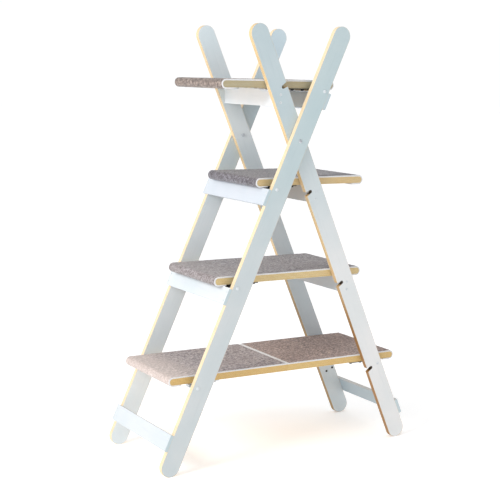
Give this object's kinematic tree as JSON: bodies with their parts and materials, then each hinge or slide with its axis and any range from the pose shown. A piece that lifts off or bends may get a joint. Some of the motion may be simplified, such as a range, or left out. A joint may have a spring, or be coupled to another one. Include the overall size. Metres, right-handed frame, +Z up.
{
  "type": "folding cat tree",
  "caption": "Folding cat tree: crossed plywood legs with round ends, edge rails and carpet-covered boards that widen towards the floor.",
  "frame": {"origin": "middle of the footprint, on the floor", "axes": "+X along the boards to the right seen from the front, +Y through the frame from front to back, +Z up"},
  "size_m": [0.8578, 0.3556, 1.2501],
  "materials": {
    "painted_ply": "satin white paint on plywood with bare edges",
    "bare_ply": "clear-coated plywood, layers showing on the edges",
    "carpet": "heathered loop carpet, grey brown",
    "black_steel": "black powder coat",
    "zinc_steel": "zinc plated",
    "white_steel": "screw heads and rod caps lacquered white like the rails",
    "nylon": "matte"
  },
  "bodies": {
    "outer_frame": {"leg_outer_front": "painted_ply", "leg_outer_back": "painted_ply", "rail_outer_top": "painted_ply", "rail_outer_upper": "painted_ply", "rail_outer_middle": "painted_ply", "stretcher_outer": "painted_ply", "rod_top": "zinc_steel", "rod_upper": "zinc_steel", "rod_middle": "zinc_steel", "rod_bottom_outer": "zinc_steel", "rod_caps": "white_steel", "outer_rail_screws": "white_steel", "pivot_bolt_front": "zinc_steel", "pivot_bolt_back": "zinc_steel", "pivot_washers": "nylon", "pivot_nut_front": "zinc_steel", "pivot_nut_back": "zinc_steel"},
    "inner_frame": {"leg_inner_front": "painted_ply", "leg_inner_back": "painted_ply", "rail_inner_top": "painted_ply", "rail_inner_upper": "painted_ply", "rail_inner_middle": "painted_ply", "stretcher_inner": "painted_ply", "rod_bottom_inner": "zinc_steel", "inner_rail_screws": "white_steel", "stretcher_inner_screws": "white_steel", "keeper_studs": "black_steel", "hinge_fixed_top": "zinc_steel", "hinge_fixed_upper": "zinc_steel", "hinge_fixed_middle": "zinc_steel", "hinge_pins": "zinc_steel"},
    "top_board": {"board_top": "bare_ply", "carpet_top": "carpet", "hinge_leaf_top": "zinc_steel", "hooks_top": "black_steel", "hook_bolts_top": "black_steel"},
    "upper_board": {"board_upper": "bare_ply", "carpet_upper": "carpet", "hinge_leaf_upper": "zinc_steel", "hooks_upper": "black_steel", "hook_bolts_upper": "black_steel"},
    "middle_board": {"board_middle": "bare_ply", "carpet_middle": "carpet", "hinge_leaf_middle": "zinc_steel", "hooks_middle": "black_steel", "hook_bolts_middle": "black_steel"},
    "bottom_left_board": {"board_bottom_left": "bare_ply", "carpet_bottom_left": "carpet", "eye_straps": "zinc_steel", "eye_strap_bolts": "black_steel", "mid_hinge_left": "zinc_steel", "mid_hinge_pins": "zinc_steel"},
    "bottom_right_board": {"board_bottom_right": "bare_ply", "carpet_bottom_right": "carpet", "hooks_bottom": "black_steel", "hook_bolts_bottom": "black_steel", "mid_hinge_right": "zinc_steel"}
  },
  "joints": [
    {"name": "fold", "type": "hinge", "parent": "outer_frame", "child": "inner_frame", "pos_m": [0, 0, 0.928], "axis": [0, 1, 0], "range_deg": [0, 30]},
    {"name": "top_board_lift", "type": "hinge", "parent": "inner_frame", "child": "top_board", "pos_m": [-0.07024, 0, 1.0716], "axis": [0, -1, 0], "range_deg": [0, 75]},
    {"name": "upper_board_lift", "type": "hinge", "parent": "inner_frame", "child": "upper_board", "pos_m": [0.07955, 0, 0.7976], "axis": [0, 1, 0], "range_deg": [0, 63]},
    {"name": "middle_board_lift", "type": "hinge", "parent": "inner_frame", "child": "middle_board", "pos_m": [0.20155, 0, 0.5236], "axis": [0, 1, 0], "range_deg": [0, 33]},
    {"name": "bottom_board_lift", "type": "hinge", "parent": "outer_frame", "child": "bottom_left_board", "pos_m": [-0.3186, 0, 0.2456], "axis": [0, -1, 0], "range_deg": [0, 51]},
    {"name": "bottom_board_fold", "type": "hinge", "parent": "bottom_left_board", "child": "bottom_right_board", "pos_m": [0, 0, 0.2496], "axis": [0, 1, 0], "range_deg": [0, 129]}
  ],
  "couplings": [
    {"joint": "top_board_lift", "follows": "fold", "ratio": 2.5},
    {"joint": "upper_board_lift", "follows": "fold", "ratio": 2.1},
    {"joint": "middle_board_lift", "follows": "fold", "ratio": 1.1},
    {"joint": "bottom_board_lift", "follows": "fold", "ratio": 1.6667},
    {"joint": "bottom_board_fold", "follows": "fold", "ratio": 4.3}
  ]
}
